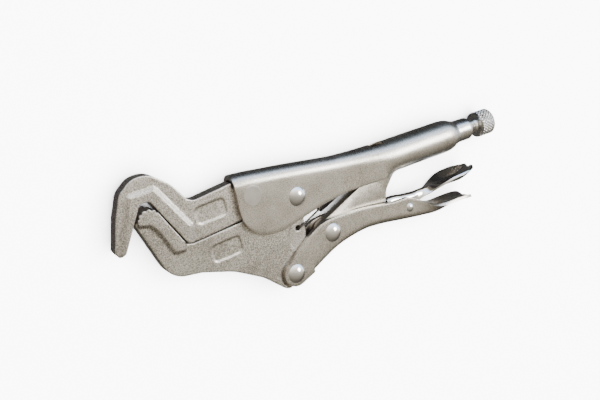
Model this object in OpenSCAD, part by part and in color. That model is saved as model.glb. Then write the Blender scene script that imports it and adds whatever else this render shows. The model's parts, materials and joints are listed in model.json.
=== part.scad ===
// Locking pliers with a hooked upper jaw and a toothed lower jaw, closed and lying on one side.
// Millimetres. Outlines are drawn in the side plane with the main rivet at 0, 0,
// then place() moves the whole tool so that it stands on z = 0, centred on its box.

/* [Jaws] */
// From the main rivet to the back of the hooked head
jaw_reach = 62; // [54:1:76]
// Height of the hook's crown above the main rivet
crown_height = 35.7; // [31:0.1:40]
// Thickness of the jaw plates
jaw_thickness = 8; // [6.6:0.1:9]
// How far the raised rib stands out of each side of a jaw
rib_rise = 1.2; // [0.6:0.1:1.6]
// Thickness of the lower jaw's lug between the lever's cheeks
lug_thickness = 6.4; // [5.4:0.1:6.8]
// Number of teeth on the lower jaw's tip
tooth_count = 5; // [4:1:7]
// Depth of each tooth
tooth_depth = 0.9; // [0.5:0.1:1.2]
// Gap between the closed jaws
jaw_gap = 0.45; // [0.3:0.05:0.8]
// Depth of the stamped panels in the jaws
panel_depth = 0.5; // [0.2:0.1:0.8]

/* [Upper handle] */
// Sheet thickness of the upper handle
handle_sheet = 2.6; // [2:0.1:2.8]
// Outside radius of the handle's round barrel
barrel_r = 9.8; // [9:0.1:10.6]
// From the main rivet to the end of the barrel's full diameter
barrel_reach = 112; // [108:0.1:135]
// Height of the barrel's axis above the main rivet
barrel_y = 2.5; // [2:0.1:3]
// Spine height over the front edge
spine_front_y = 21.6; // [20.6:0.1:22]

/* [Adjusting screw] */
// Outside radius of the threaded collar
collar_r = 6.8; // [6:0.1:7]
// Length of collar that shows behind the barrel
collar_show = 12; // [8:1:14]
// Radius of the screw
screw_r = 4; // [3.4:0.1:4.6]
// Gap between the collar and the shoulder behind the screw
screw_show = 3.6; // [3:0.1:6]
// Radius of the knurled knob
knob_r = 7.9; // [6.6:0.1:9.4]
// Length of the knurled knob
knob_length = 11; // [9:1:13]

/* [Lever and link] */
// Sheet thickness of the lever
lever_sheet = 2.6; // [2:0.1:3]
// From the main rivet to the tip of the lever
lever_reach = 121.8; // [118:0.1:149]
// Half of the lever's width at its spoon
spoon_half = 7.7; // [6.8:0.1:9]
// Thickness of the toggle link
link_thickness = 5; // [4.2:0.1:5.4]
// Sheet thickness of the release lever
release_sheet = 1.2; // [1:0.1:1.4]
// Half of the release paddle's width
paddle_half = 9.4; // [8:0.1:9.6]
// From the main rivet to the tip of the release paddle
paddle_reach = 125.7; // [122:0.1:153]

/* [Rivets and spring] */
// Shank radius of the main rivet
main_rivet_r = 3.3; // [2.8:0.1:4]
// Shank radius of the lever and link rivets
lever_rivet_r = 3.1; // [2.6:0.1:3.6]
// Shank radius of the release lever's rivet
release_rivet_r = 1.6; // [1.4:0.1:1.8]
// Head radius of the three large rivets
rivet_head_r = 5.3; // [4.6:0.1:5.8]
// Head radius of the small rivet
small_head_r = 2.7; // [2.4:0.1:3]
// Height of a large domed head
rivet_head_h = 2.2; // [1.6:0.1:2.4]
// Height of the small domed head
small_head_h = 1.2; // [0.8:0.1:1.6]
// Radius of the flush rivet that fixes the upper jaw
jaw_rivet_r = 5.25; // [4.6:0.05:5.6]
// Wire diameter of the spring
spring_wire = 1.1; // [0.8:0.1:1.2]
// Outside radius of the spring's coil
spring_r = 3.5; // [3:0.1:3.6]

/* [Hidden] */
$fn = 48;

// Clearances
fit = 0.05;        // round a shank in its bore
side_gap = 0.15;   // each side of a part that swings between two cheeks
safe = 0.4;        // between outlines that pass each other
eps = 0.5;         // how far a cut runs past what it cuts

// Colours
nickel = [0.72, 0.70, 0.66];
forged = [0.62, 0.60, 0.56];
bright = [0.86, 0.86, 0.86];
dark = [0.30, 0.30, 0.32];

// Half widths across the tool
jaw_half = jaw_thickness / 2;
lug_half = lug_thickness / 2;
handle_in = jaw_half + side_gap;
handle_out = handle_in + handle_sheet;
lever_in = lug_half + side_gap + 0.05;
lever_out = lever_in + lever_sheet;
release_half = lever_in - side_gap;
link_half = link_thickness / 2;

// Pivots
jaw_pin = [-9.1, -42.3];
link_pin = [18.2, -27.5];
release_pin = [73.1, -30.6];
link_tip = [72, 1];
spring_hole = [-1.6, -18.5];
spring_hole_r = 1.5;
jaw_rivet_at = [-25.7, 8.9];

// Places along the handle
front_x = -34.6;
boss_r = 10;
taper_x = 33;
barrel_x = 64;
slot_x = 54.8;
slot_length = 7.6;
slot_half = 2.6;
tongue_thick = 1.5;
tongue_half = 1;
tongue_rise = 3.6;
belly_slot_end = 80;
belly_slot_half = link_half + safe;
neck_length = 5;
neck_r = collar_r + 0.6;
collar_x = barrel_reach + neck_length;
collar_end = collar_x + collar_show;
collar_grip = 13;
shoulder_x = collar_end + screw_show;
shoulder_length = 2.6;
shoulder_r = screw_r + 0.5;
knob_x = shoulder_x + shoulder_length;
knob_end = knob_x + knob_length;
spigot_r = 2.5;
spigot_length = knob_length - 3;
tip_gap = 4.4;
screw_tip_x = link_tip.x + tip_gap;

// The box of the whole tool
nose_dx = -39.6;
lug_low_y = -50;
x_low = nose_dx - jaw_reach;
x_mid = (x_low + knob_end) / 2;
y_mid = (crown_height + lug_low_y) / 2;
z_base = max(barrel_r, paddle_half);

function unit(v) = v / norm(v);
function xy(p) = [p.x, p.y];

// One corner [x, y, radius] of an outline, rounded by an arc that touches both its edges
function corner(before, at, after, steps = 8) =
  let (
    a = unit(xy(before) - xy(at)),
    b = unit(xy(after) - xy(at)),
    half = acos(max(-1, min(1, a * b))) / 2,
    room = 0.48 * min(norm(xy(before) - xy(at)), norm(xy(after) - xy(at))),
    back = min(at.z / tan(half), room),
    r = back * tan(half),
    mid = xy(at) + unit(a + b) * (r / sin(half)),
    start = xy(at) + a * back,
    end = xy(at) + b * back,
    a0 = atan2(start.y - mid.y, start.x - mid.x),
    a1 = atan2(end.y - mid.y, end.x - mid.x),
    turn = a1 - a0 > 180 ? a1 - a0 - 360 : (a1 - a0 < -180 ? a1 - a0 + 360 : a1 - a0)
  )
  [for (i = [0:steps]) mid + r * [cos(a0 + turn * i / steps), sin(a0 + turn * i / steps)]];

// A whole outline, with every corner that has a radius rounded
function rounded(p) = [
  for (i = [0:len(p) - 1])
    let (n = len(p), q = p[i])
    each (q.z > 0 ? corner(p[(i + n - 1) % n], q, p[(i + 1) % n]) : [xy(q)])
];

// Points on an arc
function arc(at, r, from, to, steps = 12) = [
  for (i = [0:steps])
    let (a = from + (to - from) * i / steps) at + r * [cos(a), sin(a)]
];

module place() {
  translate([-x_mid, -y_mid, z_base]) children();
}

// A flat plate, centred on the middle plane
module plate(half) {
  translate([0, 0, -half]) linear_extrude(2 * half) children();
}

module outline(points) {
  polygon(rounded(points));
}

// A round bar across the tool
module cross_bar(at, r, half) {
  translate([at.x, at.y, -half]) cylinder(r = r, h = 2 * half);
}

// A round or conical bar between two points
module bar(from, to, r1, r2) {
  d = to - from;
  translate(from)
    rotate([0, acos(d.z / norm(d)), atan2(d.y, d.x)])
      cylinder(r1 = r1, r2 = r2, h = norm(d));
}

// A rivet with a domed head at each end
module rivet(at, shank_r, head_r, head_h, half) {
  dome_r = (head_r * head_r + head_h * head_h) / (2 * head_h);
  cross_bar(at, shank_r, half);
  for (side = [-1, 1])
    intersection() {
      translate([at.x, at.y, side * (half + head_h - dome_r)]) sphere(r = dome_r);
      translate([at.x, at.y, side * (half + head_h / 2)])
        cylinder(r = head_r + eps, h = head_h, center = true);
    }
}

// ---------- Upper handle ----------

// The spine is half round about a line from the front edge to the barrel
spine_from = [front_x, spine_front_y - handle_out];
spine_to = [barrel_x + 1, barrel_y];
spine_run = unit(spine_to - spine_from);
spine_angle = atan2(spine_run.y, spine_run.x);

function on_spine(x) = spine_from + spine_run * (x - front_x) / spine_run.x;

// The cheek of the handle, up to the middle of its spine
function cheek(reach, drop) = [
  [front_x - reach, on_spine(front_x - reach).y, 0],
  [front_x - reach, -15.7 - drop, drop > 0 ? 0 : 19],
  [-12, -15.4 - drop, 12],
  [12, -10 - drop, 40],
  [30, -7.3 - drop, 40],
  [barrel_x + 1, -7 - drop, 0],
  [barrel_x + 1, barrel_y, 0]
];

// A round or conical length along the barrel
module barrel_bar(from, to, r1, r2) {
  bar([from, barrel_y, 0], [to, barrel_y, 0], r1, r2);
}

// Turned about the spine's middle line: profile points are [x, radius]
module spine_turned(profile) {
  translate([spine_from.x, spine_from.y, 0])
    rotate([0, 0, spine_angle])
      rotate([90, 0, 90])
        rotate_extrude()
          polygon([for (p = profile) [p.y, (p.x - front_x) / spine_run.x]]);
}

// The handle's solid form, or its hollow when wall is the sheet's thickness
module handle_form(wall) {
  hollow = wall > 0;
  sunk = 0.05;
  r = handle_out - wall;
  front = front_x - 2;
  end = hollow ? barrel_reach - collar_grip : barrel_reach;
  plate(r) outline(cheek(hollow ? 2 : 0, hollow ? 10 : 0));
  // rounded spine, widening into the barrel
  spine_turned([
    [front, 0],
    [front, r - sunk],
    [taper_x, r - sunk],
    [spine_to.x, barrel_r - wall - 4 * sunk],
    [spine_to.x, 0]
  ]);
  barrel_bar(barrel_x, end, barrel_r - wall, barrel_r - wall);
}

module upper_handle() {
  color(nickel) place() difference() {
    union() {
      handle_form(0);
      barrel_bar(barrel_reach, collar_x, barrel_r, neck_r);
    }
    difference() {
      handle_form(handle_sheet);
      // the tongue that holds the spring's rear loop
      translate([slot_x + slot_length, barrel_y + tongue_rise, -tongue_half])
        cube([tongue_thick, barrel_r, 2 * tongue_half]);
    }
    // square front edge
    translate([front_x - 10, 0, -2 * handle_out]) cube([10, 40, 4 * handle_out]);
    // bore for the threaded collar
    barrel_bar(barrel_reach - collar_grip, collar_x + eps, collar_r + fit, collar_r + fit);
    // slot in the spine for the spring's loop
    translate([slot_x, barrel_y + 5, -slot_half]) cube([slot_length, barrel_r, 2 * slot_half]);
    // slot in the belly for the toggle link
    translate([taper_x, barrel_y - 2 * barrel_r, -belly_slot_half])
      cube([belly_slot_end - taper_x, 2 * barrel_r, 2 * belly_slot_half]);
    cross_bar([0, 0], main_rivet_r + fit, handle_out + eps);
    cross_bar(jaw_rivet_at, jaw_rivet_r + fit, handle_out + eps);
  }
}

// ---------- Upper jaw ----------

function head(dx, y, r) = [dx - jaw_reach, y, r];

shank_top = 17;
shank_in_top = spine_front_y - handle_out;

// The gripping edge of the hook, from the shank to the tip
hook_edge = [
  head(-2.8, -4.6, 3),
  head(-15.3, 19.2, 3),
  head(-17.3, 22.7, 2.5),
  head(-22.2, 22.9, 3),
  head(nose_dx + 5.1, 1.2, 1),
  head(nose_dx + 1.8, -0.4, 1.2)
];

function upper_jaw_outline() = [
  head(nose_dx, 3, 1.2),
  head(nose_dx + 4.3, 18.5, 20),
  head(nose_dx + 9, crown_height - 5.7, 9),
  head(nose_dx + 16.6, crown_height + 0.1, 10),
  head(-14.3, crown_height - 0.1, 10),
  head(-4.5, crown_height - 8.1, 20),
  head(3.4, shank_top - 1.4, 6),
  [front_x - safe, shank_top + 1.2, 0],
  [front_x - safe, shank_in_top, 0],
  [-4, shank_in_top - 3.8, 0],
  [-4, -1.2, 0],
  [-31, -2.5, 0],
  head(3, -5.2, 0),
  each hook_edge
];

// The raised rib follows the gripping edge of the hook
function upper_rib_outline() = [
  head(nose_dx + 1.8, 2.3, 1.2),
  head(nose_dx + 12, 29.2, 5),
  head(-12.4, 29.4, 3),
  head(2.4, 4.2, 4),
  head(1.4, -5.2, 3),
  each hook_edge
];

// The shallow stamped panel on each side of a jaw's shank
module panels(at, size, tilt) {
  w = size.x / 2;
  h = size.y / 2;
  r = 2.5;
  for (side = [-1, 1])
    translate([at.x, at.y, side * jaw_half])
      rotate([0, 0, tilt])
        plate(panel_depth) outline([[-w, -h, r], [w, -h, r], [w, h, r], [-w, h, r]]);
}

module upper_jaw() {
  color(forged) place() difference() {
    union() {
      plate(jaw_half) outline(upper_jaw_outline());
      plate(jaw_half + rib_rise) outline(upper_rib_outline());
    }
    cross_bar([0, 0], boss_r + safe, jaw_half + eps);
    cross_bar(jaw_rivet_at, jaw_rivet_r + fit, jaw_half + eps);
    panels([13 - jaw_reach, 7.4], [17, 9.4], 3);
  }
}

// ---------- Lower jaw ----------

// The toothed tip is an arc of this radius round this centre
tip_at = [-19.6 - jaw_reach, 13.2];
tip_r = 6;
tip_arc = [for (p = arc(tip_at, tip_r, 168, 25)) [p.x, p.y, 0]];

function lower_jaw_outline() = [
  each tip_arc,
  head(-3.4 - jaw_gap, -4.4, 2),
  head(0, -5.2 - jaw_gap, 2),
  [-33.7, -3.7, 0],
  [-14, -2.8, 0],
  [0, 0, 0],
  [boss_r - 2, 2 - boss_r, 3],
  [3, -14, 2],
  [2.6, -23, 4],
  [jaw_pin.x + 7.2, jaw_pin.y + 6, 6],
  [jaw_pin.x + 7.2, jaw_pin.y - 7, 7],
  [jaw_pin.x - 6.2, lug_low_y - 0.2, 7],
  [-28, -38, 16],
  [-43.8, -28.4, 30],
  head(1, -22.4, 20),
  head(-15.5, -19.8, 25),
  head(-27.3 + jaw_gap, 13.2, 1.5)
];

function lower_rib_outline() = [
  each tip_arc,
  head(-3.4 - jaw_gap, -4.4, 2),
  head(-4.4, -8.6, 3),
  head(-11.5, -8, 4),
  head(-17, 5, 4),
  head(-20, 9.6, 3),
  head(-25.4, 11, 1)
];

// The recess that takes the lever's cheeks: round the lever rivet, and under the lever
module lug_recess() {
  translate(jaw_pin) circle(r = 8.4);
  outline([
    [jaw_pin.x - 6.2, jaw_pin.y + 5.2, 0],
    [-7, -30.4, 0],
    each [for (p = arc([3.4, -23.3], 12, 215, 130)) [p.x, p.y, 0]],
    [6, -12, 0],
    [20, -12, 0],
    [20, -60, 0],
    [jaw_pin.x, -60, 0],
    [jaw_pin.x, jaw_pin.y, 0]
  ]);
}

module lower_jaw() {
  color(forged) place() difference() {
    union() {
      plate(jaw_half) outline(lower_jaw_outline());
      cross_bar([0, 0], boss_r, jaw_half);
      plate(jaw_half + rib_rise) outline(lower_rib_outline());
    }
    for (side = [-1, 1])
      translate([0, 0, side > 0 ? lug_half : -jaw_half - eps])
        linear_extrude(jaw_half - lug_half + eps) lug_recess();
    // teeth
    for (i = [0:tooth_count - 1])
      let (a = 152 - i * 116 / (tooth_count - 1))
        translate([tip_at.x + tip_r * cos(a), tip_at.y + tip_r * sin(a), 0])
          rotate([0, 0, a + 45])
            cube([1.4 * tooth_depth, 1.4 * tooth_depth, 3 * jaw_half], center = true);
    cross_bar([0, 0], main_rivet_r + fit, jaw_half + eps);
    cross_bar(jaw_pin, lever_rivet_r + fit, jaw_half + eps);
    cross_bar(spring_hole, spring_hole_r, jaw_half + eps);
    panels([17 - jaw_reach, -15], [17, 9.4], 3);
  }
}

// ---------- Lever ----------

// Side outline of the lever, front end round its rivet, with the spoon at the rear
function lever_side() = [
  each [for (p = arc(jaw_pin, 7.3, 270, 130)) [p.x, p.y, 0]],
  [0.5, -25.9, 20],
  [link_pin.x - 3.4, link_pin.y + 9, 22],
  [40.6, -20.4, 30],
  [60.7, -23.8, 10],
  [release_pin.x + 1, release_pin.y + 6.4, 10],
  [90.8, -34.6, 12],
  [98, -36.2, 6],
  [lever_reach - 8, -36.4, 4],
  [lever_reach, -39.6, 1],
  [lever_reach - 0.6, -41.2, 1],
  [90, -41, 30],
  [release_pin.x, release_pin.y - 7.2, 20],
  [42, -33.2, 40],
  [20.6, -37, 30],
  [0.5, -46.5, 10]
];

// Plan of the lever from the handle side: [along, half width]
function plan(from, flare_from, flare_to, end, narrow, wide, nose, bend) = [
  [from, -narrow, 0],
  [flare_from, -narrow, bend],
  [flare_to, -wide, 10],
  [end - nose, -wide, nose],
  [end, -nose * 0.4, 2],
  [end, nose * 0.4, 2],
  [end - nose, wide, nose],
  [flare_to, wide, 10],
  [flare_from, narrow, bend],
  [from, narrow, 0]
];

// Keeps what lies over a plan drawn in x and z
module over_plan(points) {
  translate([0, 30, 0]) rotate([90, 0, 0]) linear_extrude(120) outline(points);
}

web_from = 2.5;

module lever() {
  color(nickel) place() difference() {
    intersection() {
      plate(spoon_half) outline(lever_side());
      over_plan(plan(-30, 78, 98, lever_reach + 0.2, lever_out, spoon_half, 12, 30));
    }
    // hollow above the web
    intersection() {
      plate(spoon_half) translate([0, lever_sheet])
        outline([
          [web_from, 30, 0],
          [web_from, -46.5, 0],
          [20.6, -37, 30],
          [42, -33.2, 40],
          [release_pin.x, release_pin.y - 7.2, 20],
          [90, -41, 30],
          [lever_reach - 0.6, -41.2, 0],
          [lever_reach + 5, 30, 0]
        ]);
      over_plan(plan(-30, 78, 98, lever_reach - lever_sheet, lever_in, spoon_half - lever_sheet, 10, 30));
    }
    // open front end, where the jaw's lug stands
    translate([-30, -60, -lever_in]) cube([30 + web_from + 0.01, 60, 2 * lever_in]);
    cross_bar(jaw_pin, lever_rivet_r + fit, lever_out + eps);
    cross_bar(link_pin, lever_rivet_r + fit, lever_out + eps);
    cross_bar(release_pin, release_rivet_r + fit, lever_out + eps);
  }
}

// ---------- Toggle link ----------

link_hub_r = 6.6;

module toggle_link() {
  color(nickel) place() difference() {
    union() {
      plate(link_half)
        outline([
          [link_pin.x - 8.6, link_pin.y + 4.6, 5],
          [39, -10.3, 40],
          [52, -4.8, 20],
          [link_tip.x - 8, link_tip.y + 4.6, 5],
          [link_tip.x, link_tip.y + 4.4, 4.4],
          [link_tip.x, link_tip.y - 4.6, 4],
          [66.4, -9, 8],
          [60.6, -15.9, 8],
          [58.4, -24.6, 2],
          [link_pin.x + 16, link_pin.y - 2, 20],
          [link_pin.x + 3, link_pin.y - 6.9, 5],
          [link_pin.x - 6, link_pin.y - 6.6, 6]
        ]);
      // bosses that fill the lever's width at the link rivet
      cross_bar(link_pin, link_hub_r, release_half);
    }
    cross_bar(link_pin, lever_rivet_r + fit, lever_in + eps);
  }
}

// ---------- Release lever ----------

module release_lever() {
  color(bright) place() difference() {
    intersection() {
      plate(paddle_half)
        outline([
          [60.2, -20.2, 0.8],
          [66, -22.4, 8],
          [80, -24.4, 12],
          [93, -23.2, 12],
          [104, -21.6, 12],
          [paddle_reach - 10, -21.6, 6],
          [paddle_reach, -24, 0.8],
          [paddle_reach - 0.4, -25.2, 0.6],
          [108, -26.8, 12],
          [98, -28.6, 12],
          [82, -31, 10],
          [release_pin.x + 1, release_pin.y - 3.9, 3],
          [release_pin.x - 5, release_pin.y - 3.4, 4],
          [60.4, -24.4, 1.5]
        ]);
      over_plan(plan(40, 89.5, 101, paddle_reach + 0.2, release_half, paddle_half, 14, 12));
    }
    // dish of the paddle
    intersection() {
      plate(paddle_half)
        outline([
          [92, -10, 0],
          [92, -22.9, 4],
          [100, -26.4 + release_sheet, 8],
          [109, -26.6 + release_sheet, 12],
          [paddle_reach + 1, -25 + release_sheet, 0],
          [paddle_reach + 1, -10, 0]
        ]);
      over_plan(plan(
        88, 90, 102.2, paddle_reach - release_sheet,
        release_half - release_sheet, paddle_half - release_sheet, 13, 2
      ));
    }
    // hollow between the cheeks, under the web
    plate(release_half - release_sheet)
      outline([
        [50, -21.6 - release_sheet, 0],
        [66, -22.6 - release_sheet, 8],
        [80, -24.6 - release_sheet, 12],
        [92, -23.6 - release_sheet, 4],
        [97, -28.4, 0],
        [97, -40, 0],
        [50, -40, 0]
      ]);
    cross_bar(release_pin, release_rivet_r + fit, lever_in + eps);
  }
}

// ---------- Rivets ----------

module main_rivet() {
  color(bright) place() rivet([0, 0], main_rivet_r, rivet_head_r, rivet_head_h, handle_out);
}

module lever_rivet() {
  color(bright) place() rivet(jaw_pin, lever_rivet_r, rivet_head_r, rivet_head_h, lever_out);
}

module link_rivet() {
  color(bright) place() rivet(link_pin, lever_rivet_r, rivet_head_r, rivet_head_h, lever_out);
}

module release_rivet() {
  color(bright) place() rivet(release_pin, release_rivet_r, small_head_r, small_head_h, lever_out);
}

// Ground flush with the handle's cheeks
module jaw_rivet() {
  color(nickel) place() cross_bar(jaw_rivet_at, jaw_rivet_r, handle_out);
}

// ---------- Collar, screw and knob ----------

// Turned parts share one axis: profile points are [along, radius]
module turned(profile) {
  place()
    translate([0, barrel_y, 0])
      rotate([90, 0, 90])
        rotate_extrude()
          polygon([for (p = profile) [p.y, p.x]]);
}

module threaded_collar() {
  edge = 2;
  bore = screw_r + fit;
  start = barrel_reach - collar_grip;
  color(nickel) turned(concat(
    [[start, bore], [start, collar_r]],
    [for (p = arc([collar_end - edge, collar_r - edge], edge, 90, 0, 8)) p],
    [[collar_end, bore]]
  ));
}

module adjusting_screw() {
  color(nickel) turned(concat(
    [for (p = arc([screw_tip_x + screw_r, 0], screw_r, 180, 90, 8)) p],
    [
      [shoulder_x, screw_r], [shoulder_x, shoulder_r], [knob_x, shoulder_r],
      [knob_x, spigot_r], [knob_x + spigot_length, spigot_r], [knob_x + spigot_length, 0]
    ]
  ));
}

module knob() {
  edge = 0.9;
  hole = spigot_r + fit;
  color(nickel) turned([
    [knob_x + fit, hole], [knob_x + fit, knob_r - edge], [knob_x + fit + edge, knob_r],
    [knob_end - edge, knob_r], [knob_end, knob_r - edge], [knob_end, 0],
    [knob_x + spigot_length + fit, 0], [knob_x + spigot_length + fit, hole]
  ]);
}

// ---------- Spring ----------

wire_r = spring_wire / 2;
lead_r = 0.9 * wire_r;
lead_z = spring_r - wire_r;
spring_rear = [slot_x + slot_length + tongue_thick + wire_r + 0.15, barrel_y + 5.2];
spring_dir = unit(spring_rear - spring_hole);
spring_length = norm(spring_rear - spring_hole);
coil_from = 17;
coil_to = spring_length - 9;
coil_turns = floor((coil_to - coil_from) / spring_wire);
coil_pitch = (coil_to - coil_from) / coil_turns;
hook_z = lug_half + wire_r + 0.4;
groove = 0.3;

function on_spring(d, z) = [spring_hole.x + d * spring_dir.x, spring_hole.y + d * spring_dir.y, z];

// Close wound coil: [along, radius] of its outside, ridge by ridge
coil_ridges = [
  for (i = [0:coil_turns - 1])
    each [
      [coil_from + i * coil_pitch, spring_r - groove],
      [coil_from + (i + 0.3) * coil_pitch, spring_r],
      [coil_from + (i + 0.7) * coil_pitch, spring_r]
    ]
];

module coil() {
  bore = spring_r - spring_wire;
  end = [[coil_to, spring_r - groove], [coil_to, bore]];
  translate([spring_hole.x, spring_hole.y, 0])
    rotate([0, 0, atan2(spring_dir.y, spring_dir.x)])
      rotate([90, 0, 90])
        rotate_extrude()
          polygon([for (p = concat([[coil_from, bore]], coil_ridges, end)) [p.y, p.x]]);
}

// A straight wire along the spring, from d1 to d2
module lead(d1, z1, d2, z2) {
  bar(on_spring(d1, z1), on_spring(d2, z2), lead_r, lead_r);
}

// A wire across the spring
module crossing(d, z) {
  bar(on_spring(d, -z - wire_r), on_spring(d, z + wire_r), wire_r, wire_r);
}

module tension_spring() {
  color(dark) place() {
    coil();
    // front hook, through the hole in the lower jaw
    crossing(0, hook_z);
    lead(0, hook_z, coil_from + 0.4, lead_z);
    lead(0, -hook_z, 3.5, -hook_z);
    // rear hook, behind the handle's tongue
    lead(coil_to - 0.4, lead_z, spring_length, lead_z);
    crossing(spring_length, lead_z);
    lead(spring_length, -lead_z, spring_length - 4, -lead_z);
  }
}

upper_handle();
upper_jaw();
jaw_rivet();
main_rivet();
threaded_collar();
lower_jaw();
lever();
lever_rivet();
link_rivet();
release_rivet();
toggle_link();
release_lever();
adjusting_screw();
knob();
tension_spring();
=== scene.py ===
"""Locking pliers, closed and lying on one side: each piece's finished surface, and a studio."""

import json
import math

import bpy
from mathutils import Matrix, Vector


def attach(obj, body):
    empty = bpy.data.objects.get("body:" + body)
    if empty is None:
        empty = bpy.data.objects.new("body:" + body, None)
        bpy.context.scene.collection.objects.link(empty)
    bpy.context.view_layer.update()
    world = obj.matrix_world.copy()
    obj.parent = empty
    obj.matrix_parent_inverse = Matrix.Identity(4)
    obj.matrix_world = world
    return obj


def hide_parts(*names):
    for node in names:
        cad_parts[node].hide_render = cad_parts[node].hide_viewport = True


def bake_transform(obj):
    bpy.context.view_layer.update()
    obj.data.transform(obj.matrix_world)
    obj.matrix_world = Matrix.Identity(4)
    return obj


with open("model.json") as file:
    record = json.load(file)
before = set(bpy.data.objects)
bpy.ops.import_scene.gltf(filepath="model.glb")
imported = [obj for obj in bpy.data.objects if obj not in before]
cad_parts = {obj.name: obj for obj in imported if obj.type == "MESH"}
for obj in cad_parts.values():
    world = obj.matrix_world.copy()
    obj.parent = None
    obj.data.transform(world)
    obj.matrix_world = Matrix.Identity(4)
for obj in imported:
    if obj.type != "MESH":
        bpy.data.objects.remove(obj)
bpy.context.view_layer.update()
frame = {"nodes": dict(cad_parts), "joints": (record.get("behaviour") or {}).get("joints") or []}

# ---------- Sizes and places ----------

# The tool's own drawing has the main rivet at 0, 0 and the middle plane at z = 0, in millimetres
MM = 0.001
JOINTS = {joint["name"]: joint for joint in frame["joints"]}
MAIN_RIVET = Vector(JOINTS["jaw_hinge"]["pos_m"])


def place(x, y, z=0.0):
    """A point of the tool's drawing, in metres in the row frame."""
    return MAIN_RIVET + Vector((x, y, z)) * MM


# ---------- Selecting and finishing ----------


def select_only(*objects):
    bpy.ops.object.select_all(action="DESELECT")
    for o in objects:
        o.select_set(True)
    bpy.context.view_layer.objects.active = objects[0]


def apply_modifier(piece, kind, **settings):
    """Adds a modifier with these settings and applies it."""
    select_only(piece)
    modifier = piece.modifiers.new(kind.title(), kind)
    for name, value in settings.items():
        setattr(modifier, name, value)
    bpy.ops.object.modifier_apply(modifier=modifier.name)


def settle(piece):
    """Puts a piece's place, turn and scale into its mesh."""
    select_only(piece)
    bpy.ops.object.transform_apply(location=True, rotation=True, scale=True)


def smooth_by_angle(piece, degrees=35):
    select_only(piece)
    bpy.ops.object.shade_smooth_by_angle(angle=math.radians(degrees))


def finish_piece(piece, name, body, node, slot, material):
    """Names a piece, gives it its one material, and puts it in the place of its CAD node.

    It rides on one body; a piece given two bodies is left where it lies, on neither.
    """
    piece.name = name
    piece.data.materials.clear()
    piece.data.materials.append(material)
    if isinstance(body, str):
        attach(piece, body)
    else:
        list(body)
        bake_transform(piece)
    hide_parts(node)
    return piece


def copy_of(node):
    """A copy of a CAD node: its loose triangles merged, its flat faces made whole."""
    piece = bpy.data.objects.new(node, frame["nodes"][node].data.copy())
    bpy.context.scene.collection.objects.link(piece)
    select_only(piece)
    bpy.ops.object.mode_set(mode="EDIT")
    bpy.ops.mesh.select_all(action="SELECT")
    bpy.ops.mesh.remove_doubles(threshold=0.002 * MM)
    bpy.ops.mesh.dissolve_limited(angle_limit=math.radians(0.4))
    bpy.ops.object.mode_set(mode="OBJECT")
    return piece


def break_edges(piece, width, degrees=32):
    """Rounds every edge that is sharper than an angle."""
    apply_modifier(
        piece, "BEVEL", width=width * MM, segments=2, limit_method="ANGLE",
        angle_limit=math.radians(degrees), use_clamp_overlap=True, miter_outer="MITER_ARC",
    )
    smooth_by_angle(piece)


# ---------- Materials ----------


class Field:
    """A socket in a material's node tree. Arithmetic on it adds Math nodes."""

    def __init__(self, tree, socket):
        self.tree = tree
        self.socket = socket

    def node(self, kind, settings=None, inputs=None, output=0):
        """Adds any other node to the same tree and returns one of its outputs."""
        return add_node(self.tree, kind, settings, inputs, output)

    def maths(self, operation, first, second):
        return self.node("ShaderNodeMath", {"operation": operation}, {0: first, 1: second})

    def __add__(self, other):
        return self.maths("ADD", self, other)

    def __mul__(self, other):
        return self.maths("MULTIPLY", self, other)

    def clipped(self, low, high):
        """0 below low, 1 above high, straight in between."""
        limits = {"Value": self, "From Min": low, "From Max": high}
        return self.node("ShaderNodeMapRange", None, limits)

    def between(self, first, second):
        """A colour that goes from first to second as this field goes from 0 to 1."""
        return self.node("ShaderNodeMix", {"data_type": "RGBA"}, {0: self, 6: first, 7: second}, 2)


def add_node(tree, kind, settings=None, inputs=None, output=0):
    """Adds a node. Its settings may hold a ramp's stops, its inputs are numbers or fields."""
    made = tree.nodes.new(kind)
    for name, value in (settings or {}).items():
        if name == "stops":
            while len(made.color_ramp.elements) < len(value):
                made.color_ramp.elements.new(0.5)
            for element, (position, colour) in zip(made.color_ramp.elements, value):
                element.position = position
                element.color = colour
        else:
            setattr(made, name, value)
    for key, value in (inputs or {}).items():
        if isinstance(value, Field):
            tree.links.new(value.socket, made.inputs[key])
        else:
            made.inputs[key].default_value = value
    return Field(tree, made.outputs[output])


def rgb(r, g, b):
    return (r, g, b, 1.0)


def new_material(name):
    """A material with an empty tree, and the object's own coordinates in it."""
    material = bpy.data.materials.new(name)
    material.use_nodes = True
    tree = material.node_tree
    tree.nodes.clear()
    return material, add_node(tree, "ShaderNodeTexCoord", None, None, "Object")


def noise(coordinates, size, detail=3.0, rough=0.55):
    """Cloudy noise whose blotches are about this many millimetres across."""
    return coordinates.node(
        "ShaderNodeTexNoise", None,
        {"Vector": coordinates, "Scale": 1.0 / (size * MM), "Detail": detail, "Roughness": rough},
    )


def stretched(coordinates, x, y, z):
    return coordinates.node("ShaderNodeMapping", None, {"Vector": coordinates, "Scale": (x, y, z)})


def close_material(coordinates, colour, roughness, height, depth, metallic=1.0):
    """Ends a material: one principled shader with a bump of this depth in millimetres."""
    normal = coordinates.node(
        "ShaderNodeBump", None, {"Strength": 1.0, "Distance": depth * MM, "Height": height}
    )
    shader = coordinates.node(
        "ShaderNodeBsdfPrincipled", None,
        {"Base Color": colour, "Roughness": roughness, "Metallic": metallic, "Normal": normal},
    )
    out = coordinates.tree.nodes.new("ShaderNodeOutputMaterial")
    coordinates.tree.links.new(shader.socket, out.inputs["Surface"])


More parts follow.
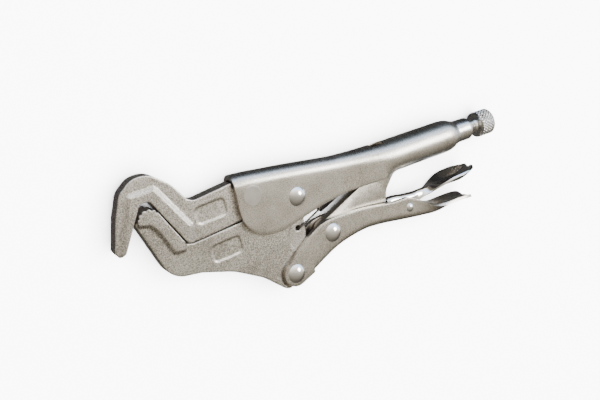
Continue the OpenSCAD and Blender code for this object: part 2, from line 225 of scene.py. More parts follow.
def satin_plate():
    """Nickel over tumbled sheet: fine grain, faint draw lines along the tool."""
    material, where = new_material("satin_plate")
    grain = noise(where, 0.5, 2.0, 0.6)
    cloud = noise(where, 14.0, 3.0)
    drawn = noise(stretched(where, 0.12, 1.0, 1.0), 1.4, 2.0)
    tone = (cloud * 0.2 + grain * 0.8).clipped(0.40, 0.60)
    colour = tone.between(rgb(0.39, 0.36, 0.31), rgb(0.72, 0.68, 0.61))
    close_material(where, colour, grain * 0.16 + cloud * 0.10 + 0.18, grain + drawn * 0.25, 0.05)
    return material


def blasted_plate():
    """Nickel over a shot blasted forging: coarse sparkling grain."""
    material, where = new_material("blasted_plate")
    grain = noise(where, 0.62, 2.0, 0.7)
    pits = noise(where, 1.7, 3.0)
    cloud = noise(where, 17.0, 2.0)
    tone = (cloud * 0.2 + grain * 0.8).clipped(0.40, 0.60)
    colour = tone.between(rgb(0.30, 0.275, 0.235), rgb(0.74, 0.70, 0.63))
    close_material(where, colour, grain * 0.22 + 0.24, grain + pits * 0.5, 0.15)
    return material


def turned_plate():
    """Turned steel, plated: fine rings about the screw's axis."""
    material, where = new_material("turned_plate")
    rings = noise(stretched(where, 1.0, 0.03, 0.03), 0.35, 2.0)
    cloud = noise(where, 6.0, 3.0)
    colour = cloud.clipped(0.35, 0.65).between(rgb(0.54, 0.52, 0.485), rgb(0.66, 0.645, 0.615))
    close_material(where, colour, rings * 0.14 + cloud * 0.12 + 0.14, rings, 0.02)
    return material


def ground_plate():
    """Ground flush with the sheet: paler, with fine cross lines."""
    material, where = new_material("ground_plate")
    lines = noise(stretched(where, 1.0, 0.15, 1.0), 0.4, 3.0)
    cloud = noise(where, 5.0, 3.0)
    colour = cloud.clipped(0.35, 0.65).between(rgb(0.60, 0.57, 0.53), rgb(0.70, 0.67, 0.63))
    close_material(where, colour, lines * 0.15 + 0.24, lines, 0.03)
    return material


def polished_plate(name, rough, spread):
    """Polished and plated: a few fine scratches and a faint haze."""
    material, where = new_material(name)
    haze = noise(where, 6.0, 4.0)
    scratches = noise(stretched(where, 0.05, 1.0, 1.0), 0.5, 1.0)
    colour = haze.clipped(0.3, 0.7).between(rgb(0.72, 0.70, 0.67), rgb(0.86, 0.85, 0.83))
    close_material(where, colour, haze * spread + scratches * 0.05 + rough, scratches, 0.006)
    return material


def oiled_wire():
    """Dark drawn wire with an oily film."""
    material, where = new_material("oiled_wire")
    film = noise(where, 3.0, 3.0)
    streaks = noise(where, 0.4, 2.0)
    colour = film.clipped(0.35, 0.65).between(rgb(0.055, 0.05, 0.046), rgb(0.15, 0.135, 0.12))
    close_material(where, colour, film * 0.25 + 0.22, streaks, 0.015)
    return material


SATIN = satin_plate()
BLASTED = blasted_plate()
GROUND = ground_plate()
TURNED = turned_plate()
POLISHED = polished_plate("rivet_polish", 0.10, 0.06)
CHROMED = polished_plate("lever_polish", 0.07, 0.02)
WIRE = oiled_wire()

# ---------- Shaping ----------


def grid_piece(name, rows, columns, where):
    """A flat grid whose points are moved to where(row, column)."""
    bpy.ops.object.select_all(action="DESELECT")
    bpy.ops.mesh.primitive_grid_add(x_subdivisions=columns, y_subdivisions=rows, size=2.0)
    piece = bpy.context.object
    piece.name = name
    for point in piece.data.vertices:
        row = round((point.co.y + 1) / 2 * rows)
        column = round((point.co.x + 1) / 2 * columns)
        point.co = where(row, column)
    return piece


def merge_points(piece, within):
    """Merges points that lie within so many millimetres of each other."""
    select_only(piece)
    bpy.ops.object.mode_set(mode="EDIT")
    bpy.ops.mesh.select_all(action="SELECT")
    bpy.ops.mesh.remove_doubles(threshold=within * MM)
    bpy.ops.object.mode_set(mode="OBJECT")


def close_up(piece):
    """Merges points that lie together and turns every face outwards."""
    merge_points(piece, 0.004)
    bpy.ops.object.mode_set(mode="EDIT")
    bpy.ops.mesh.select_all(action="SELECT")
    bpy.ops.mesh.normals_make_consistent(inside=False)
    bpy.ops.object.mode_set(mode="OBJECT")


def curve_through(keys, x):
    """The height at x of a smooth line through (x, height) keys, level at both ends."""
    if x <= keys[0][0]:
        return keys[0][1]
    if x >= keys[-1][0]:
        return keys[-1][1]
    i = max(k for k in range(len(keys) - 1) if keys[k][0] <= x)
    (x0, y0), (x1, y1) = keys[i], keys[i + 1]

    def slope(k):
        before, after = keys[max(k - 1, 0)], keys[min(k + 1, len(keys) - 1)]
        if (keys[k][1] - before[1]) * (after[1] - keys[k][1]) <= 0:
            return 0.0
        return (after[1] - before[1]) / (after[0] - before[0])

    t = (x - x0) / (x1 - x0)
    run = x1 - x0
    return (
        (2 * t**3 - 3 * t**2 + 1) * y0
        + (t**3 - 2 * t**2 + t) * run * slope(i)
        + (3 * t**2 - 2 * t**3) * y1
        + (t**3 - t**2) * run * slope(i + 1)
    )


def steps_between(start, end, step):
    count = max(1, round((end - start) / step))
    return [start + (end - start) * i / count for i in range(count + 1)]


def turned_piece(name, profile, columns, at, axis="X", swell=None):
    """Turned about an axis through a point: profile rows are (along, radius) in millimetres.

    swell(along, radius, angle) is added to the radius, for a thread or a knurl.
    """

    def where(row, column):
        along, radius = profile[row]
        angle = 2 * math.pi * column / columns
        if swell:
            radius += swell(along, radius, angle)
        across = (radius * math.cos(angle), radius * math.sin(angle))
        if axis == "X":
            return place(along, at[1] + across[0], across[1])
        return place(at[0] + across[0], at[1] + across[1], along)

    piece = grid_piece(name, len(profile) - 1, columns, where)
    close_up(piece)
    return piece


def pressed_sheet(name, stations, section):
    """Sheet metal pressed to a half section at each station.

    A half section is a list of (z, y) points from the middle outwards.
    """
    half = len(section(stations[0])) - 1

    def where(row, column):
        z, y = section(stations[row])[abs(column - half)]
        return place(stations[row], y, z if column > half else -z)

    return grid_piece(name, len(stations) - 1, 2 * half, where)


def cut_away(piece, low, high):
    """Deletes the faces whose middle lies in a box of the drawing."""
    low, high = place(*low), place(*high)
    select_only(piece)
    bpy.ops.object.mode_set(mode="EDIT")
    bpy.ops.mesh.select_mode(type="FACE")
    bpy.ops.mesh.select_all(action="DESELECT")
    bpy.ops.object.mode_set(mode="OBJECT")
    for face in piece.data.polygons:
        face.select = all(low[i] < face.center[i] < high[i] for i in range(3))
    bpy.ops.object.mode_set(mode="EDIT")
    bpy.ops.mesh.delete(type="FACE")
    bpy.ops.mesh.select_mode(type="VERT")
    bpy.ops.object.mode_set(mode="OBJECT")


def face_towards(piece, sample, direction):
    """Flips an open sheet if its face nearest to a point looks away from a direction."""
    spot = place(*sample)
    nearest = min(piece.data.polygons, key=lambda face: (face.center - spot).length)
    if nearest.normal.dot(Vector(direction)) < 0:
        select_only(piece)
        bpy.ops.object.mode_set(mode="EDIT")
        bpy.ops.mesh.select_all(action="SELECT")
        bpy.ops.mesh.flip_normals()
        bpy.ops.object.mode_set(mode="OBJECT")


def give_wall(piece, thickness, even=True, group=""):
    """Thickens a sheet inwards, away from the side its faces look to, by as much as a group says."""
    apply_modifier(
        piece, "SOLIDIFY", thickness=thickness * MM, offset=-1.0, use_even_offset=even,
        use_quality_normals=True, vertex_group=group,
    )


SHEET_EDGE_DEGREES = 50


def cut_block(piece, low, high):
    """Cuts a block out of a piece."""
    low, high = place(*low), place(*high)
    bpy.ops.object.select_all(action="DESELECT")
    bpy.ops.mesh.primitive_cube_add(size=1.0, location=(low + high) / 2)
    block = bpy.context.object
    block.scale = high - low
    settle(block)
    apply_modifier(piece, "BOOLEAN", object=block, operation="DIFFERENCE", solver="EXACT")
    bpy.data.objects.remove(block)


# ---------- Upper handle ----------

# Lists of (x, height or radius) along the tool, read by curve_through
HANDLE_SHEET = 2.6
CROWN = [
    (-34.6, 21.6), (-15, 19.7), (0, 17.8), (14, 15.8), (28, 13.9), (42, 12.9), (56, 12.5), (66, 12.3),
]
SPINE_R = [(-34.6, 6.75), (26, 6.75), (38, 7.3), (48, 8.2), (58, 9.3), (67, 9.8)]
CHEEK_EDGE = [
    (-34.6, 3.0), (-33.9, -2.0), (-32.2, -6.5), (-29.2, -10.4), (-25.2, -13.3), (-20.5, -15.0),
    (-14, -15.3), (-7, -14.3), (3, -12.0), (12, -10.0), (22, -8.4), (32, -7.4), (48, -7.2),
    (68, -7.1),
]
CURL = [(56, 0.0), (70, 1.0)]
SEAM_ANGLE = [(78, 0.3), (81, 0.0)]
BARREL_Y = 2.5
BARREL_END_FROM = 100
BARREL_END = [(106, 9.8), (110, 9.6), (113, 8.95), (115.4, 7.9), (116.6, 7.45), (117, 7.4)]
CROWN_STEPS, CHEEK_STEPS = 12, 10
SPINE_SLOT = ((54.8, 7, -3.6), (62.4, 20, 3.6))


def handle_section(x):
    """Half round crown, then a cheek that curls round into the barrel."""
    radius = curve_through(SPINE_R if x < BARREL_END_FROM else BARREL_END, x)
    middle = curve_through(CROWN, x) - curve_through(SPINE_R, x)
    curl = curve_through(CURL, x)
    straight = middle - curve_through(CHEEK_EDGE, x)
    quarter = math.pi / 2 - curve_through(SEAM_ANGLE, x)
    length = straight + (radius * quarter - straight) * curl
    turn = quarter * curl
    points = []
    for i in range(CROWN_STEPS + 1):
        angle = math.pi / 2 * i / CROWN_STEPS
        points.append((radius * math.sin(angle), middle + radius * math.cos(angle)))
    z, y = points[-1]
    for i in range(CHEEK_STEPS):
        heading = turn * (i + 0.5) / CHEEK_STEPS
        z -= length / CHEEK_STEPS * math.sin(heading)
        y -= length / CHEEK_STEPS * math.cos(heading)
        points.append((max(z, 0.0), y))
    return points


def upper_handle():
    stations = [-34.6, -34.45, -34.2] + steps_between(-33.8, -22, 0.9)
    stations += steps_between(-20.8, 105, 1.7) + steps_between(106, 117, 0.8)
    sheet = pressed_sheet("upper_handle", stations, handle_section)
    face_towards(sheet, (0, 18, 0), (0, 1, 0))
    merge_points(sheet, 0.01)
    give_wall(sheet, HANDLE_SHEET)
    cut_block(sheet, *SPINE_SLOT)
    break_edges(sheet, 0.4, SHEET_EDGE_DEGREES)
    return sheet


# ---------- Lever ----------

LEVER_SHEET = 2.6
LEVER_HALF = 6.0
WEB_FROM = 2.5
JAW_PIN = (-9.1, -42.3)
LEVER_NOSE = 7.3
LEVER_RIM = [
    (-13.8, -36.7), (-6.4, -31.1), (0.2, -26.2), (4.6, -23.4), (9.4, -21.0), (14.6, -19.6),
    (22, -19.3), (32, -19.9), (42, -20.7), (52, -22.2), (61, -23.7), (67, -23.9), (73, -24.5),
    (79, -27.4), (86, -32.0), (92, -35.6), (98, -37.2), (104, -37.6), (112, -37.8), (118, -38.3),
    (121.8, -39.2),
]
LEVER_FLOOR = [
    (-9.1, -49.6), (-3, -47.7), (3, -45.3), (11, -41.5), (20, -37.6), (30, -35.2), (42, -33.9),
    (54, -34.9), (66, -36.9), (80, -39.1), (92, -40.4), (104, -40.3), (114, -40.3), (119, -40.4),
    (121.8, -40.7),
]
LEVER_WIDE = [(76, 6.0), (84, 6.35), (92, 7.1), (100, 7.6), (106, 7.7)]
LEVER_LEAN = [(78, 0.0), (86, 10.0), (92, 28.0), (98, 50.0), (105, 66.0), (121.8, 68.0)]
LEVER_BEND = [(72, 4.0), (86, 3.4), (98, 1.6), (121.8, 0.7)]
LEVER_WALL = [(80, 1.0), (99, 0.66)]
SPOON_FROM, SPOON_END, SPOON_TIP = 114.8, 121.8, 5.0
WEB_STEPS, BEND_STEPS, RIM_STEPS = 4, 6, 7


def rounded_nose(x, start, end, wide, tip):
    """Half width near an end that narrows along an ellipse from wide to tip."""
    if x <= start:
        return wide
    t = min(1.0, (x - start) / (end - start))
    return tip + (wide - tip) * math.sqrt(1 - t * t)


def lever_section(x):
    """From the middle of the web, round the bend, to the rim of the cheek."""
    dx = x - JAW_PIN[0]
    if dx <= 0:
        low = JAW_PIN[1] - math.sqrt(max(LEVER_NOSE**2 - dx**2, 0.01))
    else:
        low = curve_through(LEVER_FLOOR, x)
    if x < LEVER_RIM[0][0]:
        high = JAW_PIN[1] + math.sqrt(max(LEVER_NOSE**2 - dx**2, 0.01))
    else:
        high = curve_through(LEVER_RIM, x)
    if x < WEB_FROM:
        flat = [(LEVER_HALF * i / 12, low) for i in range(11)]
        return flat + [(LEVER_HALF, low + (high - low) * i / 6) for i in range(7)]
    wide = rounded_nose(x, SPOON_FROM, SPOON_END, curve_through(LEVER_WIDE, x), SPOON_TIP)
    lean = math.radians(curve_through(LEVER_LEAN, x))
    bend = min(curve_through(LEVER_BEND, x), 0.8 * (high - low))
    turn = math.pi / 2 - lean
    rise = bend * (1 - math.cos(turn))
    length = max(0.05, (high - low - rise) / math.cos(lean))
    inner = max(0.2, wide - bend * math.sin(turn) - length * math.sin(lean))
    points = [(inner * i / WEB_STEPS, low) for i in range(WEB_STEPS)]
    for i in range(BEND_STEPS + 1):
        a = turn * i / BEND_STEPS
        points.append((inner + bend * math.sin(a), low + bend * (1 - math.cos(a))))
    z, y = points[-1]
    for i in range(1, RIM_STEPS + 1):
        out = length * i / RIM_STEPS
        points.append((z + out * math.sin(lean), y + out * math.cos(lean)))
    return points


def lever():
    turns = (4, 14, 26, 38, 50, 60, 70, 80)
    stations = [JAW_PIN[0] - LEVER_NOSE * math.cos(math.radians(a)) for a in turns]
    stations += steps_between(JAW_PIN[0], WEB_FROM - 0.06, 1.4) + [WEB_FROM]
    stations += steps_between(WEB_FROM + 1, 108.8, 1.5)
    stations += steps_between(109.8, 120.6, 0.9) + [121.3, SPOON_END]
    sheet = pressed_sheet("lever", stations, lever_section)
    face_towards(sheet, (42, -27, 6), (0, 0, 1))
    # The web is open at the front, between the cheeks
    cut_away(sheet, (-30, -60, 0.05 - LEVER_HALF), (WEB_FROM, 0, LEVER_HALF - 0.05))
    wall = sheet.vertex_groups.new(name="wall")
    for point in sheet.data.vertices:
        x = (point.co.x - MAIN_RIVET.x) / MM
        wall.add([point.index], curve_through(LEVER_WALL, x), "REPLACE")
    give_wall(sheet, LEVER_SHEET, group="wall")
    sheet.vertex_groups.clear()
    break_edges(sheet, 0.45, SHEET_EDGE_DEGREES)
    return sheet


# ---------- Release lever ----------

RELEASE_SHEET = 1.2
RELEASE_WEB = [
    (60.2, -22.0), (62, -21.6), (66, -21.8), (72, -22.9), (80, -23.9), (88, -24.0), (95, -24.2),
    (103, -24.9), (112, -25.2), (117, -24.9), (120.5, -24.1), (123, -23.0), (124.8, -21.9),
    (125.7, -21.2),
]
RELEASE_DROP = [
    (60.2, 2.4), (66, 7.0), (73, 8.8), (80, 5.4), (86, 3.6), (92, 3.9), (99, 4.9), (106, 5.7),
    (113, 6.0), (119, 5.5), (123, 3.6), (125.7, 1.6),
]
RELEASE_LEAN = [
    (78, -90.0), (84, -74.0), (90, -40.0), (96, -4.0), (102, 22.0), (108, 36.0), (118, 40.0),
    (125.7, 34.0),
]
RELEASE_BEND = [(60.2, 2.3), (62, 2.9), (82, 2.9), (94, 2.0), (108, 1.5)]
RELEASE_WIDE = [
    (60.2, 2.7), (61.5, 3.25), (80, 3.25), (88, 4.3), (95, 6.1), (102, 7.9), (108, 8.8), (113, 8.95),
]
PADDLE_FROM, PADDLE_END, PADDLE_TIP = 113, 125.7, 2.6
DISH_STEPS = 6


def release_section(x):
    """From the middle of the web to the rim: cheeks that hang at the front, a dish at the rear."""
    wide = rounded_nose(x, PADDLE_FROM, PADDLE_END, curve_through(RELEASE_WIDE, x), PADDLE_TIP)
    lean = math.radians(curve_through(RELEASE_LEAN, x))
    length = curve_through(RELEASE_DROP, x)
    level = curve_through(RELEASE_WEB, x)
    bend = curve_through(RELEASE_BEND, x)
    z, y = 0.0, level
    offsets = [(0.0, 0.0)]
    for i in range(DISH_STEPS):
        heading = lean * (i + 0.5) / DISH_STEPS
        reach = bend * max(abs(lean), 0.3) / DISH_STEPS
        z += reach * math.cos(heading)
        y += reach * math.sin(heading)
        offsets.append((z, y - level))
    for i in range(DISH_STEPS):
        z += length / DISH_STEPS * math.cos(lean)
        y += length / DISH_STEPS * math.sin(lean)
        offsets.append((z, y - level))
    narrow = min(1.0, (wide - 0.4) / z)
    inner = wide - z * narrow
    web = [(inner * i / WEB_STEPS, level) for i in range(WEB_STEPS)]
    return web + [(inner + dz * narrow, level + dy * narrow) for dz, dy in offsets]


def release_lever():
    stations = [60.2, 60.5, 61] + steps_between(62, 112, 1.1)
    stations += steps_between(PADDLE_FROM, 123.6, 0.8) + [124.3, 124.9, 125.3, 125.55, PADDLE_END]
    sheet = pressed_sheet("release_lever", stations, release_section)
    face_towards(sheet, (70, -22, 0), (0, 1, 0))
    give_wall(sheet, RELEASE_SHEET, even=False)
    break_edges(sheet, 0.28, SHEET_EDGE_DEGREES)
    return sheet


# ---------- Rivets ----------


LINK_PIN, RELEASE_PIN = (18.2, -27.5), (73.1, -30.6)
DOME_STEPS, ROUND_COLUMNS = 7, 64
FLUSH_RIVET_AT, FLUSH_RIVET_R, FLUSH_RIVET_HALF = (-25.7, 8.9), 5.25, 6.84


def dome(start, head_r, head_h, way):
    """Rows of a domed head from its flat rim to its top, way is 1 up or -1 down."""
    ball_r = (head_r**2 + head_h**2) / (2 * head_h)
    widest = math.asin(head_r / ball_r)
    rows = []
    for i in range(DOME_STEPS + 1):
        a = widest * (1 - i / DOME_STEPS)
        rows.append((start + way * (head_h - ball_r + ball_r * math.cos(a)), ball_r * math.sin(a)))
    return rows


def rivet(name, at, half, shank_r, head_r, head_h):
    """A shank between cheeks that are half above and half below the middle, and two domes."""
    under = head_r - 0.15
    rows = list(reversed(dome(-half, head_r, head_h, -1)))
    rows += [(-half, under), (-half, shank_r), (half, shank_r), (half, under)]
    rows += dome(half, head_r, head_h, 1)
    piece = turned_piece(name, rows, ROUND_COLUMNS, at, "Z")
    smooth_by_angle(piece)
    return piece


def flush_rivet():
    """Ground almost level with the cheeks, with a fine edge."""
    half, radius = FLUSH_RIVET_HALF, FLUSH_RIVET_R
    edge = [(half, 0), (half, radius - 0.15), (half - 0.08, radius), (half - 0.24, radius)]
    rows = [(-z, r) for z, r in edge] + list(reversed(edge))
    piece = turned_piece("jaw_rivet", rows, ROUND_COLUMNS, FLUSH_RIVET_AT, "Z")
    smooth_by_angle(piece, 15)
    return piece


# ---------- Collar, screw and knob ----------

COLLAR_FROM, COLLAR_END, COLLAR_R = 99.0, 129.0, 6.8
SHOULDER_X, KNOB_X, KNOB_END, KNOB_R = 132.6, 135.2, 146.2, 7.9
THREAD_PITCH, THREAD_DEPTH = 1.25, 0.62
SCREW_TIP, SCREW_R, SCREW_END = 76.4, 4, 143.2
KNURLS_ROUND, KNURL_DEPTH = 26, 0.6


def threaded_collar():
    rows = [(COLLAR_FROM, 4.1), (COLLAR_FROM, COLLAR_R), (116.4, COLLAR_R), (117.6, 6.78)]
    rows += [(122, 6.8), (126.2, 6.75)]
    for a in (0.3, 0.6, 0.9, 1.2, 1.45):
        rows.append((COLLAR_END - 2 + 2 * math.sin(a), COLLAR_R - 2 + 2 * math.cos(a)))
    rows += [(COLLAR_END, 4.7), (COLLAR_END - 0.5, 4.1), (COLLAR_FROM, 4.1)]
    piece = turned_piece("threaded_collar", rows, 72, (0, BARREL_Y))
    smooth_by_angle(piece)
    return piece


def thread_height(along, radius, angle):
    """A vee thread, fading out at the shoulder."""
    if radius < 3.9 or along > SHOULDER_X - 0.3:
        return 0.0
    turn = (along / THREAD_PITCH - angle / (2 * math.pi)) % 1.0
    return -THREAD_DEPTH * abs(2 * turn - 1)


def adjusting_screw():
    rows = []
    for a in (0.0, 0.3, 0.6, 0.9, 1.2, 1.4):
        rows.append((SCREW_TIP + SCREW_R - SCREW_R * math.cos(a), SCREW_R * math.sin(a)))
    rows += [(x, SCREW_R) for x in steps_between(81, SHOULDER_X, THREAD_PITCH / 7)]
    rows += [(SHOULDER_X, 4.3), (SHOULDER_X + 0.2, 4.5), (KNOB_X, 4.5), (KNOB_X, 2.5)]
    rows += [(SCREW_END, 2.5), (SCREW_END, 0)]
    piece = turned_piece("adjusting_screw", rows, 40, (0, BARREL_Y), "X", thread_height)
    smooth_by_angle(piece, 50)
    return piece


def knurl_height(along, radius, angle):
    """Two crossed sets of grooves that leave small diamonds."""
    if radius < KNOB_R - 0.05:
        return 0.0
    to_start, to_end = along - KNOB_X - 0.9, KNOB_END - 0.8 - along
    fade = min(1.0, max(0.0, to_start / 0.5), max(0.0, to_end / 0.5))
    around = KNURLS_ROUND * angle / (2 * math.pi)
    lean = along / 2.4
    first = abs(2 * ((around + lean) % 1.0) - 1)
    second = abs(2 * ((around - lean) % 1.0) - 1)
    groove = min(first, second)
    return -KNURL_DEPTH * fade * (1 - groove * 1.6 if groove < 0.62 else 0.0)


def knob():
    rows = [(SCREW_END + 0.05, 0), (SCREW_END + 0.05, 2.55), (KNOB_X + 0.05, 2.55)]
    rows += [(KNOB_X + 0.05, 6.6), (KNOB_X + 0.25, 6.95), (KNOB_X + 0.95, 7.85)]
    rows += [(x, KNOB_R) for x in steps_between(KNOB_X + 1, KNOB_END - 0.9, 0.26)]
    rows += [(KNOB_END - 0.8, 7.85), (KNOB_END - 0.2, 7.1), (KNOB_END, 6.8), (KNOB_END, 0)]
    piece = turned_piece("knob", rows, 240, (0, BARREL_Y), "X", knurl_height)
    smooth_by_angle(piece, 40)
    return piece


# ---------- Spring ----------

SPRING_FRONT, SPRING_REAR = Vector((-1.6, -18.5)), Vector((64.6, 7.7))
WIRE_R, COIL_R, HOOK_Z = 0.55, 2.95, 4.15
COIL_POINTS = 18


def tension_spring():
    """One wire: front hook, close wound coil, rear hook."""
    run = SPRING_REAR - SPRING_FRONT
    length = run.length
    along = run / length
    side = Vector((-along.y, along.x))

    def at(d, u, z):
        spot = SPRING_FRONT + along * d + side * u
        return place(spot.x, spot.y, z)

    start, end = 17.0, length - 9.0
    turns = int((end - start) / (2 * WIRE_R))
    points = [at(3.5, 0, -HOOK_Z), at(1.2, 0, -HOOK_Z), at(0.2, 0, -HOOK_Z + 0.4)]
    points += [at(0, 0, -HOOK_Z + 1.2), at(0, 0, HOOK_Z - 1.2), at(0.2, 0, HOOK_Z - 0.4)]
    points += [at(1.2, 0, HOOK_Z), at(6, 0, 3.9), at(start - 1.5, 0, 3.1)]
    steps = turns * COIL_POINTS
    for i in range(steps + 1):
        angle = 2 * math.pi * i / COIL_POINTS
        d = start + (end - start) * i / steps
        points.append(at(d, COIL_R * math.sin(angle), COIL_R * math.cos(angle)))
    points += [at(end + 1.5, 0, COIL_R), at(length - 1.2, 0, COIL_R)]
    points += [at(length - 0.2, 0, COIL_R - 0.4), at(length, 0, COIL_R - 1.2)]
    points += [at(length, 0, 1.2 - COIL_R), at(length - 0.2, 0, 0.4 - COIL_R)]
    points += [at(length - 1.2, 0, -COIL_R), at(length - 4, 0, -COIL_R)]
    data = bpy.data.curves.new("tension_spring", "CURVE")
    data.dimensions = "3D"
    data.bevel_depth = WIRE_R * MM
    data.bevel_resolution = 2
    data.use_fill_caps = True
    line = data.splines.new("POLY")
    line.points.add(len(points) - 1)
    for point, spot in zip(line.points, points):
        point.co = (*spot, 1.0)
    wire = bpy.data.objects.new("tension_spring", data)
    bpy.context.scene.collection.objects.link(wire)
    select_only(wire)
    bpy.ops.object.convert(target="MESH")
    wire = bpy.context.object
    close_up(wire)
    smooth_by_angle(wire, 50)
    return wire


# ---------- Jaws and link ----------

JAW_HALF = 4.0
GRAIN_SIZE = 0.34
UPPER_RIB = [
    (-99.8, -0.4), (-99.8, 2.3), (-89.6, 29.2), (-74.4, 29.4), (-59.6, 4.2), (-60.6, -5.2),
]
LOWER_RIB = [
    (-65.4, -4.4), (-66.4, -8.6), (-73.5, -8.0), (-79.0, 5.0), (-82.0, 9.6), (-87.4, 11.0),
]


def distance_to(line, spot):
    """How far a point is from a line of points, seen from the side."""
    least = 1.0
    for a, b in zip(line, line[1:]):
        run = (b - a).to_2d()
        t = min(1.0, max(0.0, (spot - a).to_2d().dot(run) / run.length_squared))
        least = min(least, ((spot - a).to_2d() - run * t).length)
    return least


def forged_copy(node, slope, width):
    """A copy of a jaw with soft forged edges, and a rib that slopes down to a line."""
    piece = copy_of(node)
    apply_modifier(
        piece, "REMESH", mode="VOXEL", voxel_size=GRAIN_SIZE * MM, use_smooth_shade=True
    )
    line = [place(x, y) for x, y in slope]
    middle = MAIN_RIVET.z
    for point in piece.data.vertices:
        raised = abs(point.co.z - middle) - JAW_HALF * MM
        if raised < 0.05 * MM:
            continue
        t = min(distance_to(line, point.co) / (width * MM), 1.0)
        side = 1 if point.co.z > middle else -1
        point.co.z = middle + side * (JAW_HALF * MM + raised * (0.12 + 0.88 * t * t * (3 - 2 * t)))
    apply_modifier(piece, "SMOOTH", factor=0.5, iterations=4)
    return piece


def cleaned_copy(node, width):
    """A copy of a CAD node with its edges broken."""
    piece = copy_of(node)
    break_edges(piece, width)
    apply_modifier(
        piece, "TRIANGULATE", quad_method="BEAUTY", ngon_method="BEAUTY", min_vertices=5
    )
    smooth_by_angle(piece)
    return piece


# Half the width of the cheeks, then the shank, and the head's radius and height
MAIN_RIVET_SIZE = (6.75, 3.3, 5.3, 2.2)
LEVER_RIVET_SIZE = (LEVER_HALF, 3.1, 5.3, 2.2)
RELEASE_RIVET_SIZE = (LEVER_HALF, 1.6, 2.7, 1.2)

HANDLE, SPRING_ENDS = "upper_handle", ("upper_handle", "lower_jaw")
SHEET, FORGED, MACHINED, BRIGHT = "plated_sheet", "blasted_steel", "turned_steel", "polished_steel"

# The CAD node, its finished piece, the body or bodies it goes with, its slot and its material
PIECES = [
    ("upper_handle", upper_handle(), HANDLE, SHEET, SATIN),
    ("upper_jaw", forged_copy("upper_jaw", UPPER_RIB, 2.6), HANDLE, FORGED, BLASTED),
    ("jaw_rivet", flush_rivet(), HANDLE, MACHINED, GROUND),
    ("main_rivet", rivet("main_rivet", (0, 0), *MAIN_RIVET_SIZE), HANDLE, BRIGHT, POLISHED),
    ("threaded_collar", threaded_collar(), HANDLE, MACHINED, TURNED),
    ("lower_jaw", forged_copy("lower_jaw", LOWER_RIB, 2.0), "lower_jaw", FORGED, BLASTED),
    ("lever", lever(), "lever", SHEET, SATIN),
    ("lever_rivet", rivet("lever_rivet", JAW_PIN, *LEVER_RIVET_SIZE), "lever", BRIGHT, POLISHED),
    ("link_rivet", rivet("link_rivet", LINK_PIN, *LEVER_RIVET_SIZE), "lever", BRIGHT, POLISHED),
    (
        "release_rivet", rivet("release_rivet", RELEASE_PIN, *RELEASE_RIVET_SIZE), "lever",
        BRIGHT, POLISHED,
    ),
    ("toggle_link", cleaned_copy("toggle_link", 0.3), "toggle_link", FORGED, SATIN),
    ("release_lever", release_lever(), "release_lever", BRIGHT, CHROMED),
    ("adjusting_screw", adjusting_screw(), "adjusting_screw", MACHINED, TURNED),
    ("knob", knob(), "knob", MACHINED, TURNED),
    ("tension_spring", tension_spring(), SPRING_ENDS, "spring_steel", WIRE),
]

for node, piece, body, slot, material in PIECES:
    finish_piece(piece, node + "_finished", body, node, slot, material)

# ---------- Studio ----------


def floor():
    bpy.ops.object.select_all(action="DESELECT")
    bpy.ops.mesh.primitive_plane_add(size=8.0, location=(0, 0, -0.05 * MM))
    plane = bpy.context.object
    plane.name = "floor"
    material, where = new_material("floor_paper")
    fibre = noise(where, 3.0, 3.0)
    colour = fibre.between(rgb(0.90, 0.90, 0.90), rgb(0.92, 0.92, 0.92))
    close_material(where, colour, fibre * 0.05 + 0.75, fibre, 0.02, metallic=0.0)
    plane.data.materials.append(material)
    plane.visible_glossy = False


def soft_light(name, position, target, size, power):
    data = bpy.data.lights.new(name, "AREA")
    data.shape = "SQUARE"
    data.size = size
    data.energy = power
    lamp = bpy.data.objects.new(name, data)
    bpy.context.scene.collection.objects.link(lamp)
    lamp.location = position
    towards = Vector(target) - Vector(position)
    lamp.rotation_euler = towards.to_track_quat("-Z", "Y").to_euler()
    return lamp


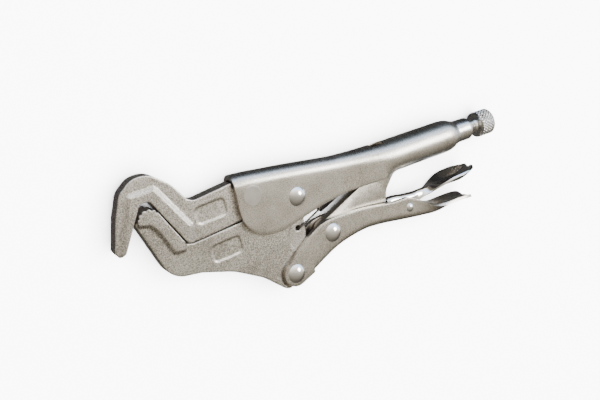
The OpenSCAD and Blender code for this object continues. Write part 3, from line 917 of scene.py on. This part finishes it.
def studio_room():
    """What the metal mirrors, round the tool's length: a cool strip on the spine's side, then warm."""
    world = bpy.data.worlds.new("studio")
    bpy.context.scene.world = world
    world.use_nodes = True
    tree = world.node_tree
    tree.nodes.clear()
    where = add_node(tree, "ShaderNodeTexCoord", None, None, "Generated")
    along = where.node("ShaderNodeSeparateXYZ", None, {0: where}, "X")
    across = where.node("ShaderNodeSeparateXYZ", None, {0: where}, "Y")
    height = where.node("ShaderNodeSeparateXYZ", None, {0: where}, "Z")
    sideways = across + along * 0.35
    tilt = sideways.maths("ARCTAN2", sideways, height)
    colour = tilt.node(
        "ShaderNodeValToRGB",
        {
            "stops": [
                (0.0, rgb(0.10, 0.10, 0.10)),
                (0.12, rgb(0.12, 0.115, 0.105)),
                (0.23, rgb(0.09, 0.085, 0.075)),
                (0.322, rgb(0.22, 0.20, 0.165)),
                (0.425, rgb(0.50, 0.465, 0.39)),
                (0.492, rgb(0.74, 0.695, 0.60)),
                (0.578, rgb(1.5, 1.40, 1.24)),
                (0.639, rgb(2.6, 2.6, 2.7)),
                (0.682, rgb(2.4, 3.1, 4.3)),
                (0.708, rgb(1.1, 1.45, 1.95)),
                (0.735, rgb(0.035, 0.04, 0.04)),
                (0.82, rgb(0.03, 0.03, 0.03)),
                (0.92, rgb(0.11, 0.105, 0.10)),
                (1.0, rgb(0.10, 0.10, 0.10)),
            ]
        },
        {0: tilt * (0.5 / math.pi) + 0.5},
    )
    background = colour.node("ShaderNodeBackground", None, {"Color": colour, "Strength": 1.0})
    out = tree.nodes.new("ShaderNodeOutputWorld")
    tree.links.new(background.socket, out.inputs["Surface"])


def camera():
    """Seen from above the jaws, over the spine's side."""
    right = Vector((0.83984, -0.18188, 0.51146))
    forward = Vector((0.44872, -0.29761, -0.84266))
    up = right.cross(forward)
    data = bpy.data.cameras.new("camera")
    data.sensor_width = 36.0
    data.lens = 45.6
    seen = bpy.data.objects.new("camera", data)
    bpy.context.scene.collection.objects.link(seen)
    turn = Matrix((right, up, -forward)).transposed()
    seen.matrix_world = Matrix.Translation(place(-182.6, 119.5, 351.5)) @ turn.to_4x4()
    bpy.context.scene.camera = seen


floor()
studio_room()
soft_light("key", (0.68, 0.23, 0.84), (0, 0, 0), 0.42, 10.0)
fill = soft_light("fill", (0.0, 0.0, 1.6), (0, 0, 0), 3.0, 520.0)
fill.visible_glossy = False
camera()
